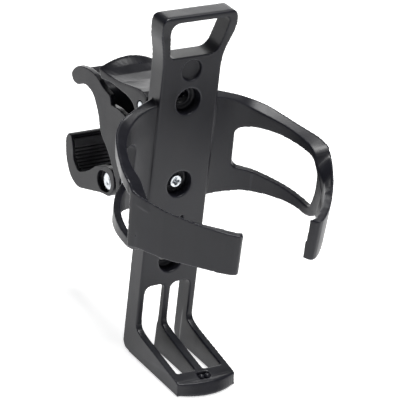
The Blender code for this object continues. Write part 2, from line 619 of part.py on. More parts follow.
make_cage(plastic)
make_clamp_body(clamp_plastic)
make_jaw(clamp_plastic)
make_jaw_pad(rubber)
make_release_lever(clamp_plastic)
make_jaw_pin(zinc)
make_pin("stop_pin", STOP_AXIS, SMALL_PIN_RADIUS, 11.6, zinc)
make_pin("lever_pin", LEVER_AXIS, SMALL_PIN_RADIUS, 12.0, zinc)
make_spring("lever_spring", LEVER_AXIS, 2.9, 0.45, 1.3, 5.6, 3, [(13.6, 17.0), (22.0, 28.2)], spring_steel)
make_spring("jaw_spring", JAW_AXIS, 3.5, 0.5, 1.2, 5.0, 2, [(18.4, -3.1), (37.6, -14.0)], spring_steel)
make_screw(zinc)
make_nut(zinc)
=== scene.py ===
"""Looks of the water bottle cage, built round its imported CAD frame.

The camera, the studio and every visible piece of the bottle cage and its tube clamp are made here.
Outlines are in millimetres from the middle screw hole on the front face of the spine, as in the CAD
model. Each mesh is scaled by MM and moved by SHIFT, which puts the origin in the clamped tube.
"""
from math import atan2, cos, pi, radians, sin

import bmesh
import bpy
from mathutils import Matrix, Vector


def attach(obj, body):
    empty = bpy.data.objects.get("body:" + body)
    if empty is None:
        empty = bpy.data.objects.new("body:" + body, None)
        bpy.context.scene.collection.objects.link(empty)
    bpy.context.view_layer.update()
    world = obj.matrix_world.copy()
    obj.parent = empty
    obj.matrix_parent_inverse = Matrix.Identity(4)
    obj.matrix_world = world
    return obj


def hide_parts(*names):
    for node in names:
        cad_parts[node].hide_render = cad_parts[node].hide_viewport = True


MM = 0.001
GAP = 0.3
THROUGH = 14.0
TUBE_AXIS = (51.0, 1.0)
SHIFT = Vector((0.0, -TUBE_AXIS[0], -TUBE_AXIS[1])) * MM

# Cage: spine, handle loop and foot
SPINE_WIDTH = 24.5
SPINE_DEPTH = 8.1
PLATE = 2.9
FLANGE = 2.5
SILL_Z = 50.8
LOOP_TOP_Z = 67.7
LOOP_LEAN = 2.4
SLOT_TOP_Z = -41.0
RIB_HALF = 1.15
FOOT_FRONT_Y = -31.7
SLOT_END_Y = -26.3
FOOT_BOTTOM_Z = -69.5
HOLE_Z = (33.0, 0.0, -31.0)
HOLE_RADIUS = 5.1
BOSS_RADIUS = 7.2
BOLT_CLEARANCE_RADIUS = 2.8
SEAT_Y = 4.8
BACK_TOP_Z = 47.5
BACK_BOTTOM_Z = -72.0
DIMPLE_Z = 45.3
DIMPLE_RADIUS = 4.1
PIN_MARK = (2.7, -13.9)
PIP_RADIUS = 1.15
PIP_PLACES = ((-1.2, -30.0, -64.5), (1.2, -30.0, -64.5))

# Cage: arms
AXIS_Y = -28.5
STRAP_THICKNESS = 3.0
STRAP_TILT = 1.2
STRAP_END_RUN = (-0.9, -0.436)
WEB_INNER_RADIUS = 36.0

# Clamp
CLAMP_FRONT_Y = SPINE_DEPTH + 0.4
CLAMP_HALF = 12.0
WALL = 2.2
JAW_AXIS = (31.5, -12.0)
STOP_AXIS = (19.5, -7.0)
LEVER_AXIS = (12.9, 27.3)
JAW_PIN_RADIUS = 2.5
HUB_RADIUS = 4.6
HUB_CLEARANCE = 7.9
HEAD_POCKET_RADIUS = 3.9
HEAD_POCKET_END = (33.5, -12.3)
SMALL_PIN_RADIUS = 1.9
MIDDLE_LEFT = -5.2
MIDDLE_RIGHT = 0.4
RATCHET_RADIUS = 20.0
TOOTH_HEIGHT = 1.0
TOOTH_COUNT = 6
TOOTH_ANGLES = (137.0, 113.0)
SCREW_RADIUS = 1.5
SCREW_HEAD_RADIUS = 2.8
NUT_RADIUS = 3.2

# Outlines in the side view (y, z, rounding reach)
SPINE_SIDE = [
    (0.0, 49.0, 6.0), (0.0, -57.5, 3.0), (-4.0, -59.2, 2.0), (-31.0, -64.1, 0.6),
    (-32.4, -69.3, 0.6), (0.0, FOOT_BOTTOM_Z, 3.0), (SPINE_DEPTH, -68.8, 8.0), (SPINE_DEPTH, 50.0, 5.0),
    (SPINE_DEPTH - LOOP_LEAN, 62.0, 3.0), (SPINE_DEPTH - LOOP_LEAN, LOOP_TOP_Z, 1.2),
    (-LOOP_LEAN, LOOP_TOP_Z, 1.2), (-LOOP_LEAN, 61.0, 4.0),
]
# Outline in the front view (x, z, rounding reach)
SPINE_FRONT = [
    (-12.25, -80.0, 0.0), (12.25, -80.0, 0.0), (12.25, 50.0, 5.0), (15.7, 61.5, 3.5),
    (15.4, LOOP_TOP_Z, 5.5), (-15.4, LOOP_TOP_Z, 5.5), (-15.7, 61.0, 4.0), (-12.25, 50.0, 5.0),
]
HANDLE_WINDOW = [(-9.8, SILL_Z, 2.0), (9.7, SILL_Z, 4.0), (12.6, 65.3, 2.0), (-12.5, 65.3, 5.0)]
# Pocket in the top of the foot (x, y, rounding reach), and the foot's front edge (z, bulge)
PIP_POCKET = [(-2.5, -31.1, 1.2), (2.5, -31.1, 1.2), (2.5, -27.9, 1.2), (-2.5, -27.9, 1.2)]
LIP_LEVELS = [(-69.25, 3.5), (-68.6, 4.0), (-64.9, 2.3), (-64.3, 1.7)]
# Half openings of the foot, mirrored for the other side (x, z, rounding reach)
FOOT_SLOT = [
    (RIB_HALF, SLOT_TOP_Z, 3.0), (RIB_HALF, -56.5, 2.0), (1.55, -59.5, 1.0), (1.9, -72.0, 0.0),
    (9.4, -72.0, 0.0), (9.5, -58.5, 1.0), (9.75, -54.0, 1.0), (9.75, SLOT_TOP_Z, 3.0),
]
# Outlines of the clamp in the side view (y, z, rounding reach)
CLAMP_SIDE = [
    (CLAMP_FRONT_Y, 19.0, 1.5), (18.4, 18.8, 2.0), (27.6, 19.8, 1.0), (32.6, 19.2, 0.5),
    (33.8, 22.2, 1.0), (39.3, 23.2, 3.0), (44.5, 25.6, 3.0), (52.0, 25.8, 4.0), (59.0, 23.8, 3.0),
    (62.9, 19.6, 2.0), (61.4, 16.6, 1.6), (57.6, 16.3, 1.6), (52.9, 19.0, 4.0), (46.4, 18.4, 5.0),
    (41.4, 12.6, 5.0), (38.4, 5.2, 4.0), (32.5, 1.2, 4.0), (25.6, -6.5, 3.0), (24.0, -15.4, 2.0),
    (CLAMP_FRONT_Y, -12.0, 2.0),
]
CLAMP_HOLLOW = [
    (11.4, -22.0, 0.0), (11.4, 32.0, 0.0), (63.5, 32.0, 0.0), (63.5, 21.6, 0.0), (58.0, 19.4, 2.0),
    (53.4, 21.4, 3.0), (45.2, 20.8, 4.0), (39.3, 13.8, 4.0), (36.2, 7.0, 3.0), (30.8, 3.6, 3.0),
    (23.4, -5.8, 2.0), (22.0, -22.0, 0.0),
]
JAW_SIDE = [
    (61.0, -4.9, 1.0), (62.6, -7.6, 2.0), (61.4, -15.0, 5.0), (57.2, -21.2, 4.0), (51.0, -23.4, 4.0),
    (41.6, -20.2, 4.0), (33.0, -17.3, 2.0), (27.6, -16.6, 3.0), (24.6, -11.0, 4.0), (26.9, -5.4, 4.0),
    (31.2, -5.4, 3.0), (35.0, -7.2, 2.0), (38.7, -8.4, 3.0), (43.0, -12.2, 4.0), (46.7, -14.7, 4.0),
    (51.6, -17.1, 4.5), (55.9, -13.4, 4.0), (56.6, -9.2, 3.0), (58.6, -5.2, 0.6),
]
JAW_SEAT = [
    (57.0, -6.1, 0.0), (60.3, -6.2, 0.6), (58.9, -9.2, 2.0), (57.4, -13.4, 3.0), (54.7, -17.3, 3.0),
    (50.4, -18.6, 3.0), (45.8, -17.0, 3.0), (42.0, -14.5, 2.0), (38.8, -11.2, 0.6), (39.9, -9.0, 0.0),
    (43.4, -11.0, 0.0), (46.9, -13.3, 0.0), (50.5, -14.9, 0.0), (53.2, -13.6, 0.0), (55.0, -10.0, 0.0),
]
PAD_BACK = [
    (46.7, -14.8, 2.0), (43.2, -12.4, 2.0), (40.2, -9.7, 0.3), (39.3, -11.2, 0.5), (42.2, -14.2, 2.0),
    (46.0, -16.7, 3.0), (50.4, -18.2, 3.0), (54.5, -17.0, 3.0), (57.1, -13.3, 3.0), (58.6, -9.2, 2.0),
    (59.9, -6.6, 0.5), (57.9, -6.4, 0.4),
]
PAD_CENTRE = (49.5, -9.5)
PAD_RADIUS = 7.0
PAD_HALF = CLAMP_HALF - 1.2
GROOVE_COUNT = 7
GROOVE_HALF = 0.3
GROOVE_DEPTH = 0.8
LEVER_SIDE = [
    (43.1, 29.0, 0.6), (33.8, 28.9, 3.0), (28.0, 29.4, 3.0), (21.0, 31.2, 3.0), (15.6, 32.4, 3.0),
    (9.6, 31.6, 2.0), (8.8, 27.4, 3.0), (10.4, 23.6, 2.6), (15.4, 23.4, 2.0), (18.6, 26.4, 2.0),
    (22.0, 27.2, 3.0), (34.2, 27.4, 3.0), (41.6, 25.9, 0.8),
]
LUG_PLATE_SIDE = [
    (11.0, -3.0, 0.0), (11.0, -12.4, 0.0), (25.0, -15.4, 3.0), (31.5, -16.9, 0.0), (34.6, -15.8, 0.0),
    (36.3, -13.2, 0.0), (36.3, -10.8, 0.0), (34.6, -8.2, 0.0), (31.5, -7.1, 0.0), (28.0, -7.4, 1.0),
    (22.0, -2.0, 3.0),
]
LEVER_LUG_SIDE = [
    (CLAMP_FRONT_Y + 0.6, 14.0, 0.0), (CLAMP_FRONT_Y + 0.6, 27.3, 3.0), (11.0, 30.7, 2.0),
    (14.8, 30.7, 2.0), (16.8, 27.0, 2.0), (15.4, 19.0, 2.0), (17.0, 14.0, 0.0),
]
PAWL_SIDE = [
    (9.6, 27.3, 2.0), (10.4, 30.4, 2.0), (12.6, 31.9, 0.5), (16.4, 31.9, 0.5), (17.2, 27.0, 2.0),
    (17.6, 15.0, 4.0), (22.6, 7.6, 1.5), (20.2, 5.9, 0.3), (14.6, 10.4, 4.0), (12.6, 22.0, 4.0),
]
# Dished top of the lever: y, z at the sides, z in the middle
LEVER_ROWS = [
    (43.4, 29.6, 33.0), (42.0, 29.5, 32.6), (39.0, 29.4, 31.1), (34.5, 29.6, 29.8), (28.0, 30.3, 29.7),
    (22.0, 31.7, 31.2), (16.0, 33.0, 32.8), (12.0, 33.2, 33.2), (9.4, 32.2, 32.2),
]
# Right half of the jaw's rivet: x, radius
RIVET_HALF = [
    (0.0, 2.5), (10.0, 2.5), (10.1, 3.45), (10.3, 3.6), (10.6, 3.55), (10.85, 3.2), (10.9, 2.6),
    (10.85, 1.4), (10.6, 1.1), (10.55, 0.0),
]

# Ring of one arm: angle from the front, inner radius, outer top z, inner top z, bottom z, outer
# radius, top edge radius
RING_KEYS = [
    (164.0, 31.0, 34.0, 33.0, -7.0, 37.6, 35.4), (157.0, 31.9, 33.8, 32.6, -6.9, 37.6, 35.7),
    (150.0, 33.2, 33.0, 31.8, -6.4, 37.9, 36.3), (142.0, 34.6, 31.8, 30.3, -5.9, 38.2, 37.6),
    (135.0, 35.6, 30.2, 28.2, -5.3, 38.4, 39.3), (127.0, 35.8, 28.8, 26.6, -5.0, 38.4, 39.8),
    (119.0, 35.8, 27.3, 25.5, -4.6, 38.4, 39.6), (111.0, 35.8, 26.1, 24.6, -4.4, 38.4, 39.5),
    (103.0, 35.8, 25.1, 23.6, -4.3, 38.4, 39.9), (95.0, 35.8, 24.2, 22.7, -4.4, 38.4, 40.9),
    (90.0, 35.8, 23.3, 21.8, -4.6, 38.4, 41.4), (86.5, 35.8, 22.4, 20.4, -4.3, 38.4, 41.6),
    (83.0, 35.8, 19.6, 17.8, -3.6, 38.4, 40.6), (78.0, 35.8, 15.6, 14.4, -1.6, 38.2, 39.0),
    (72.0, 35.8, 11.9, 11.1, 2.2, 37.9, 38.0), (66.0, 35.8, 10.0, 9.5, 5.4, 37.4, 37.4),
    (61.0, 35.8, 9.4, 9.0, 7.2, 37.0, 37.0),
]
# Window of one arm: distance round the ring from its front, z, rounding reach
WINDOW_RADIUS = 36.0
ARM_WINDOW = [
    (89.9, 19.4, 2.5), (83.0, 20.8, 3.0), (74.0, 20.8, 4.0), (64.8, 19.8, 4.0), (55.2, 18.8, 4.0),
    (50.8, 15.2, 3.0), (50.4, 8.0, 4.0), (53.5, -0.9, 3.5), (58.5, -0.6, 3.0), (66.4, 0.6, 4.0),
    (74.8, 1.8, 4.0), (82.0, 3.2, 3.0), (89.7, 3.9, 2.5),
]
# Web that twists from the ring's top into the strap: angle, strap radius, strap z, inner z, flat width
WEB_KEYS = [
    (92.0, 41.2, 23.0, 22.0, 0.5), (87.0, 41.6, 22.2, 20.6, 0.5), (83.5, 41.5, 20.3, 17.8, 0.3),
    (79.5, 41.0, 19.3, 16.0, 0.3), (75.0, 40.2, 18.6, 14.6, 0.3), (70.0, 39.0, 17.6, 13.5, 0.3),
    (65.0, 38.2, 16.6, 12.3, 0.3), (59.0, 37.6, 15.4, 11.2, 0.3),
]
# Strap of one arm, outer face: x, y, bottom z, top z, fall of the top towards its inner side
STRAP_KEYS = [
    (41.8, -32.2, -2.1, 21.6, 1.2), (41.4, -33.6, -1.9, 20.0, 2.0), (40.3, -36.0, -1.4, 19.3, 2.8),
    (37.9, -40.4, -1.6, 18.2, 3.8), (35.2, -45.0, -2.0, 17.2, 3.6), (31.8, -49.9, -1.9, 16.5, 2.2),
    (28.1, -54.8, -1.7, 15.4, 0.9), (24.0, -59.6, -1.8, 14.8, 0.3), (20.4, -63.1, -2.0, 14.2, 0.0),
    (17.9, -65.0, -2.1, 13.9, 0.0), (16.3, -65.5, -2.1, 13.7, 0.0), (15.1, -64.9, -2.0, 13.4, 0.0),
]

# Camera angles in degrees, distance and sideways offsets in millimetres
CAMERA_AZIMUTH = 34.383
CAMERA_ELEVATION = 26.196
CAMERA_ROLL = 6.573
CAMERA_DISTANCE = 980.4
CAMERA_ASIDE = (7.446, -5.772)
CAMERA_LENS = 243.1

# Soft boxes in metres and watts: name, place, size, power
LIGHT_AIM = (0.0, -0.06, 0.0)
LIGHTS = [
    ("top_box", (0.17, -0.10, 1.0), (0.55, 0.5), 11.0),
    ("front_box", (0.25, -0.9, 0.25), (0.6, 0.4), 0.5),
    ("rear_box", (0.5, 0.9, 0.3), (0.6, 0.5), 2.5),
]


def rounded(corners, steps=6):
    """Outline of (u, v) points from corners given as (u, v, rounding reach)."""
    points = []
    count = len(corners)
    for index, (u, v, reach) in enumerate(corners):
        corner = Vector((u, v))
        before = Vector(corners[index - 1][:2]) - corner
        after = Vector(corners[(index + 1) % count][:2]) - corner
        reach = min(reach, 0.45 * before.length, 0.45 * after.length)
        if reach < 0.05:
            points.append((u, v))
            continue
        start = corner + before.normalized() * reach
        end = corner + after.normalized() * reach
        for step in range(steps + 1):
            t = step / steps
            spot = start * (1 - t) ** 2 + corner * (2 * t * (1 - t)) + end * t ** 2
            points.append((spot.x, spot.y))
    return points


def between(keys, place):
    """Smooth values at a place in rows of (place, value, ...), by a cubic through the rows."""
    rows = sorted(keys)
    places = [row[0] for row in rows]
    place = min(max(place, places[0]), places[-1])
    index = max(i for i in range(len(rows) - 1) if places[i] <= place)
    lower, upper = rows[index], rows[index + 1]
    before = rows[max(index - 1, 0)]
    after = rows[min(index + 2, len(rows) - 1)]
    width = upper[0] - lower[0]
    t = (place - lower[0]) / width
    values = []
    for k in range(1, len(lower)):
        slope_a = (upper[k] - before[k]) / (upper[0] - before[0]) * width
        slope_b = (after[k] - lower[k]) / (after[0] - lower[0]) * width
        value = (2 * t ** 3 - 3 * t ** 2 + 1) * lower[k] + (t ** 3 - 2 * t ** 2 + t) * slope_a
        value += (3 * t ** 2 - 2 * t ** 3) * upper[k] + (t ** 3 - t ** 2) * slope_b
        values.append(value)
    return values


def add_object(name, mesh):
    """Object in the scene from a mesh."""
    thing = bpy.data.objects.new(name, mesh)
    bpy.context.scene.collection.objects.link(thing)
    return thing


def finish_mesh(bm, name):
    """Mesh with welded points and outward faces from an edit mesh, moved to the object's origin."""
    bmesh.ops.remove_doubles(bm, verts=bm.verts, dist=0.00001)
    bmesh.ops.translate(bm, vec=SHIFT, verts=bm.verts)
    bmesh.ops.recalc_face_normals(bm, faces=bm.faces)
    mesh = bpy.data.meshes.new(name)
    bm.to_mesh(mesh)
    bm.free()
    return mesh


def prism(name, outline, low, high, axis="X"):
    """Solid from an outline, extruded along an axis; X takes (y, z), Y takes (x, z), Z takes (x, y)."""
    curve = bpy.data.curves.new(name, "CURVE")
    curve.dimensions = "2D"
    curve.fill_mode = "BOTH"
    curve.extrude = 0.5 * (high - low) * MM
    spline = curve.splines.new("POLY")
    spline.points.add(len(outline) - 1)
    for point, (u, v) in zip(spline.points, outline):
        point.co = (u * MM, v * MM, 0.0, 1.0)
    spline.use_cyclic_u = True
    flat = add_object(name, curve)
    bm = bmesh.new()
    bm.from_mesh(bpy.data.meshes.new_from_object(flat))
    bpy.data.objects.remove(flat, do_unlink=True)
    middle = 0.5 * (low + high) * MM
    turns = {
        "X": Matrix(((0, 0, 1, middle), (1, 0, 0, 0), (0, 1, 0, 0), (0, 0, 0, 1))),
        "Y": Matrix(((1, 0, 0, 0), (0, 0, -1, middle), (0, 1, 0, 0), (0, 0, 0, 1))),
        "Z": Matrix.Translation((0, 0, middle)),
    }
    bmesh.ops.transform(bm, matrix=turns[axis], verts=bm.verts)
    return add_object(name, finish_mesh(bm, name))


def cylinder(name, centre, radius, low, high, axis="X", sides=48, end_radius=None):
    """Round solid along an axis; centre is the two coordinates across it."""
    bm = bmesh.new()
    far = radius if end_radius is None else end_radius
    bmesh.ops.create_cone(bm, cap_ends=True, segments=sides, radius1=radius * MM, radius2=far * MM,
                          depth=(high - low) * MM)
    middle = 0.5 * (low + high) * MM
    u, v = centre[0] * MM, centre[1] * MM
    turns = {
        "X": Matrix.Translation((middle, u, v)) @ Matrix.Rotation(pi / 2, 4, "Y"),
        "Y": Matrix.Translation((u, middle, v)) @ Matrix.Rotation(-pi / 2, 4, "X"),
        "Z": Matrix.Translation((u, v, middle)),
    }
    bmesh.ops.transform(bm, matrix=turns[axis], verts=bm.verts)
    return add_object(name, finish_mesh(bm, name))


def loft(name, sections):
    """Solid through a row of closed sections with the same number of points each."""
    bm = bmesh.new()
    rings = [[bm.verts.new(Vector(point) * MM) for point in section] for section in sections]
    count = len(rings[0])
    for near, far in zip(rings, rings[1:]):
        for i in range(count):
            j = (i + 1) % count
            bm.faces.new((near[i], near[j], far[j], far[i]))
    bmesh.ops.triangulate(bm, faces=bm.faces)
    bm.faces.new(rings[0])
    bm.faces.new(rings[-1])
    return add_object(name, finish_mesh(bm, name))


def turned(name, profile, centre, sides=64):
    """Round piece about an axis along X, from (x, radius) points; the first and last radius are 0."""
    bm = bmesh.new()
    rows = []
    for x, radius in profile:
        if radius == 0.0:
            rows.append([bm.verts.new(Vector((x, centre[0], centre[1])) * MM)])
            continue
        row = []
        for step in range(sides):
            angle = 2 * pi * step / sides
            spot = (x, centre[0] + radius * cos(angle), centre[1] + radius * sin(angle))
            row.append(bm.verts.new(Vector(spot) * MM))
        rows.append(row)
    for near, far in zip(rows, rows[1:]):
        for i in range(sides):
            j = (i + 1) % sides
            corners = [near[i % len(near)], near[j % len(near)], far[j % len(far)], far[i % len(far)]]
            bm.faces.new(dict.fromkeys(corners))
    return add_object(name, finish_mesh(bm, name))


def combine(target, tool, operation):
    """Boolean of a tool into a target, made at once; the tool is used up."""
    step = target.modifiers.new(tool.name, "BOOLEAN")
    step.operation = operation
    step.solver = "EXACT"
    step.object = tool
    bake(target)
    bpy.data.objects.remove(tool, do_unlink=True)


def join(target, *tools):
    """Add solids to a piece."""
    for tool in tools:
        combine(target, tool, "UNION")


def cut(target, *tools):
    """Take solids away from a piece."""
    for tool in tools:
        combine(target, tool, "DIFFERENCE")


def bake(piece):
    """Replace a piece's mesh by its shape with its modifiers applied."""
    graph = bpy.context.evaluated_depsgraph_get()
    graph.update()
    mesh = bpy.data.meshes.new_from_object(piece.evaluated_get(graph))
    piece.modifiers.clear()
    piece.data = mesh
    return piece


def moulded(piece, voxel, rounds, share):
    """Round every edge of a piece as a mould does: remesh it finely, relax it and thin it out."""
    remesh = piece.modifiers.new("remesh", "REMESH")
    remesh.mode = "VOXEL"
    remesh.voxel_size = voxel * MM
    relax = piece.modifiers.new("relax", "SMOOTH")
    relax.factor = 0.5
    relax.iterations = rounds
    thin = piece.modifiers.new("thin", "DECIMATE")
    thin.ratio = share
    bake(piece)
    return smooth(piece)


def smooth(piece):
    """Shade a piece smooth all over."""
    piece.data.polygons.foreach_set("use_smooth", [True] * len(piece.data.polygons))
    return piece


def bevelled(piece, width, segments=3, angle=30.0):
    """Round the edges of a small hard piece."""
    step = piece.modifiers.new("edges", "BEVEL")
    step.width = width * MM
    step.segments = segments
    step.limit_method = "ANGLE"
    step.angle_limit = radians(angle)
    step.harden_normals = True
    bake(piece)
    return smooth(piece)


def settle(piece, material, slot, body, *nodes):
    """Give a piece its material and its CAD body, and let it stand for its CAD nodes."""
    piece.data.materials.clear()
    piece.data.materials.append(material)
    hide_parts(*nodes)
    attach(piece, body)
    return piece


def arm_section(side, angle, profile):
    """Points of an upright section of an arm, from (radius, z) pairs at an angle from the front."""
    across, along = sin(radians(angle)), -cos(radians(angle))
    return [(side * radius * across, AXIS_Y + radius * along, z) for radius, z in profile]


def arm_angles(keys, steps):
    """Even angles from the first row of a table to its last."""
    first, last = keys[0][0], keys[-1][0]
    return [first + (last - first) * step / steps for step in range(steps + 1)]


def arm_ring(side):
    """Closed D-shaped ring of one arm, from the spine's flange round to the strap, and its window."""
    sections = []
    for angle in arm_angles(RING_KEYS, 72):
        inner, top_out, top_in, bottom, outer, crest = between(RING_KEYS, angle)
        rise = top_in - bottom
        profile = [
            (inner, bottom), (outer, bottom + 0.1), (outer, bottom + 0.5 * rise),
            (max(outer, crest), bottom + 0.9 * rise), (crest + 0.3, top_out - 0.1),
            (crest - 0.4, top_out), (inner, top_in),
        ]
        sections.append(arm_section(side, angle, profile))
    ring = loft("arm_ring", sections)
    cut(ring, arm_window(side))
    return ring


def arm_window(side):
    """Cutter for the window of one arm, with its edges square to the ring."""
    outline = rounded(ARM_WINDOW)
    sections = []
    for radius in (26.0, 52.0):
        section = []
        for distance, z in outline:
            angle = distance / WINDOW_RADIUS
            section.append((side * radius * sin(angle), AXIS_Y - radius * cos(angle), z))
        sections.append(section)
    return loft("arm_window", sections)


def arm_web(side):
    """Web that twists from the ring's top rim into the root of the strap."""
    sections = []
    for angle in arm_angles(WEB_KEYS, 24):
        radius, z_out, z_in, flat = between(WEB_KEYS, angle)
        profile = [
            (WEB_INNER_RADIUS, z_in - 2.6), (WEB_INNER_RADIUS, z_in), (radius - flat, z_out),
            (radius - 0.1, z_out - 0.1), (radius - 0.1, z_out - 4.0),
        ]
        sections.append(arm_section(side, angle, profile))
    return loft("arm_web", sections)


def arm_strap(side):
    """Flat spring strap that comes off the ring and closes round the front of the bottle."""
    sections = []
    for index, (x, y, bottom, top, fall) in enumerate(STRAP_KEYS):
        before = STRAP_KEYS[max(index - 1, 0)]
        after = STRAP_KEYS[min(index + 1, len(STRAP_KEYS) - 1)]
        run = Vector((after[0] - before[0], after[1] - before[1])).normalized()
        if index >= len(STRAP_KEYS) - 3:
            run = Vector(STRAP_END_RUN)
        inward = Vector((run.y, -run.x))
        outer_high = Vector((x, y))
        outer_low = outer_high + inward * STRAP_TILT
        across = inward * STRAP_THICKNESS
        corners = (
            (outer_low, bottom), (outer_high, top), (outer_high + across, top - fall),
            (outer_low + across, bottom),
        )
        sections.append([(side * spot.x, spot.y, z) for spot, z in corners])
    return loft("arm_strap", sections)


def foot_lip():
    """Bowed front edge of the foot, fuller at the bottom."""
    sections = []
    for z, bulge in LIP_LEVELS:
        front = []
        for step in range(25):
            x = -18.0 + 1.5 * step
            front.append((x, FOOT_FRONT_Y - bulge * (1 - (2 * x / SPINE_WIDTH) ** 2), z))
        sections.append(front + [(18.0, -27.0, z), (-18.0, -27.0, z)])
    return loft("foot_lip", sections)


def make_cage():
    """Spine, handle loop, foot and both arms as one moulding."""
    inner = 0.5 * SPINE_WIDTH - FLANGE
    cage = prism("cage_shell", rounded(SPINE_SIDE, steps=10), -20.0, 20.0)
    join(cage, foot_lip())
    front = prism("front_outline", rounded(SPINE_FRONT, steps=10), -60.0, 20.0, axis="Y")
    combine(cage, front, "INTERSECT")
    cut(cage, prism("handle_window", rounded(HANDLE_WINDOW, steps=10), -8.0, THROUGH, axis="Y"))
    for side in (-1, 1):
        ring = arm_ring(side)
        join(ring, arm_web(side), arm_strap(side))
        join(cage, ring)
    back = [(PLATE, BACK_TOP_Z), (PLATE, BACK_BOTTOM_Z), (SPINE_DEPTH + 2, BACK_BOTTOM_Z),
            (SPINE_DEPTH + 2, BACK_TOP_Z)]
    cut(cage, prism("back_hollow", back, -inner, inner))
    for side in (-1, 1):
        arch = [(side * x, z, reach) for x, z, reach in FOOT_SLOT]
        cut(cage, prism("foot_slot", rounded(arch), SLOT_END_Y, SPINE_DEPTH + 1, axis="Y"))
    cut(cage, prism("pip_pocket", rounded(PIP_POCKET), -65.1, -60.0, axis="Z"))
    for z in HOLE_Z:
        join(cage, cylinder("boss", (0, z), BOSS_RADIUS, PLATE - 0.6, SPINE_DEPTH, "Y"))
        bore = BOLT_CLEARANCE_RADIUS if z else SCREW_RADIUS + GAP
        cut(cage, cylinder("counterbore", (0, z), HOLE_RADIUS, -2.0, SEAT_Y, "Y"),
            cylinder("bolt_bore", (0, z), bore, SEAT_Y - 1.0, SPINE_DEPTH + 1.0, "Y"))
    cut(cage, cylinder("thumb_dimple", (0, DIMPLE_Z), DIMPLE_RADIUS, -1.0, 1.6, "Y"),
        cylinder("pin_mark", PIN_MARK, 0.7, -1.0, 1.0, "Y", sides=16))
    moulded(cage, 0.36, 4, 0.35)
    for place in PIP_PLACES:
        join(cage, pip(place))
    return smooth(cage)


def pip(place):
    """Small domed moulding pip in the pocket of the foot."""
    bm = bmesh.new()
    bmesh.ops.create_uvsphere(bm, u_segments=24, v_segments=16, radius=PIP_RADIUS * MM)
    bmesh.ops.translate(bm, vec=Vector(place) * MM, verts=bm.verts)
    return add_object("pip", finish_mesh(bm, "pip"))


def make_clamp_body():
    """Fixed hook with two side walls, a web round the tube and lugs for the three pins."""
    body = prism("hook_shell", rounded(CLAMP_SIDE), -CLAMP_HALF, CLAMP_HALF)
    inner = CLAMP_HALF - WALL
    cut(body, prism("clamp_hollow", rounded(CLAMP_HOLLOW), -inner, inner))
    for low, high in ((5.7, 8.3), (-8.3, -5.7)):
        join(body, prism("jaw_lug", rounded(LUG_PLATE_SIDE), low, high))
    for low, high in ((6.3, 9.3), (-9.3, -6.3)):
        join(body, prism("lever_lug", rounded(LEVER_LUG_SIDE), low, high))
    for low, high in ((8.6, THROUGH), (-THROUGH, -8.6)):
        cut(body, cylinder("ear_relief", JAW_AXIS, HUB_CLEARANCE, low, high))
    cut(body, cylinder("jaw_pin_hole", JAW_AXIS, JAW_PIN_RADIUS + GAP, -THROUGH, THROUGH),
        cylinder("stop_pin_hole", STOP_AXIS, SMALL_PIN_RADIUS + GAP, -THROUGH, THROUGH),
        cylinder("lever_pin_hole", LEVER_AXIS, SMALL_PIN_RADIUS + GAP, -THROUGH, THROUGH),
        prism("ratchet_slot", [(21.0, -9.0), (37.6, -9.0), (37.6, 9.0), (21.0, 9.0)],
              MIDDLE_LEFT - 0.5, MIDDLE_RIGHT + 0.5),
        prism("spring_slot", [(21.0, -19.0), (28.0, -19.0), (28.0, -3.0), (21.0, -3.0)], -5.7, 5.7),
        cylinder("screw_hole", (0, 0), SCREW_RADIUS + GAP, 7.0, 13.0, "Y", sides=24),
        cylinder("nut_pocket", (0, 0), 3.6, 9.9, 13.0, "Y", sides=6))
    return moulded(body, 0.3, 4, 0.35)


def make_jaw():
    """Swinging lower jaw with two ears on the hinge pin and a toothed ratchet sector."""
    jaw = prism("jaw_shell", rounded(JAW_SIDE), -CLAMP_HALF, CLAMP_HALF)
    cut(jaw, cylinder("hub_clearance", JAW_AXIS, HUB_CLEARANCE, -8.6, 8.6))
    teeth = []
    start, end = TOOTH_ANGLES
    for index in range(TOOTH_COUNT):
        step = (end - start) / TOOTH_COUNT
        for part, height in ((0.0, 0.0), (0.8, TOOTH_HEIGHT)):
            angle = radians(start + (index + part) * step)
            reach = RATCHET_RADIUS - TOOTH_HEIGHT + height
            teeth.append((JAW_AXIS[0] + reach * cos(angle), JAW_AXIS[1] + reach * sin(angle)))
    hub = circle(JAW_AXIS, HUB_RADIUS, 100.0, 20.0, 12)
    root = [(40.6, -9.8), (42.0, -19.0), (35.4, -17.6)]
    belly = circle(JAW_AXIS, HUB_RADIUS, -60.0, -200.0, 16)
    join(jaw, prism("ratchet_sector", teeth + hub + root + belly, MIDDLE_LEFT, MIDDLE_RIGHT))
    cut(jaw, prism("pad_seat", rounded(JAW_SEAT), -PAD_HALF - GAP, PAD_HALF + GAP),
        cylinder("jaw_pin_bore", JAW_AXIS, JAW_PIN_RADIUS + GAP, -THROUGH, THROUGH))
    pocket = circle(JAW_AXIS, HEAD_POCKET_RADIUS, -95.0, -275.0, 12)
    pocket += circle(HEAD_POCKET_END, HEAD_POCKET_RADIUS, 85.0, -95.0, 12)
    for low, high in ((9.8, THROUGH), (-THROUGH, -9.8)):
        cut(jaw, prism("head_pocket", pocket, low, high))
    return moulded(jaw, 0.24, 3, 0.4)


def circle(centre, radius, start, end, steps):
    """Points of an arc, angles in degrees."""
    points = []
    for step in range(steps + 1):
        angle = radians(start + (end - start) * step / steps)
        points.append((centre[0] + radius * cos(angle), centre[1] + radius * sin(angle)))
    return points


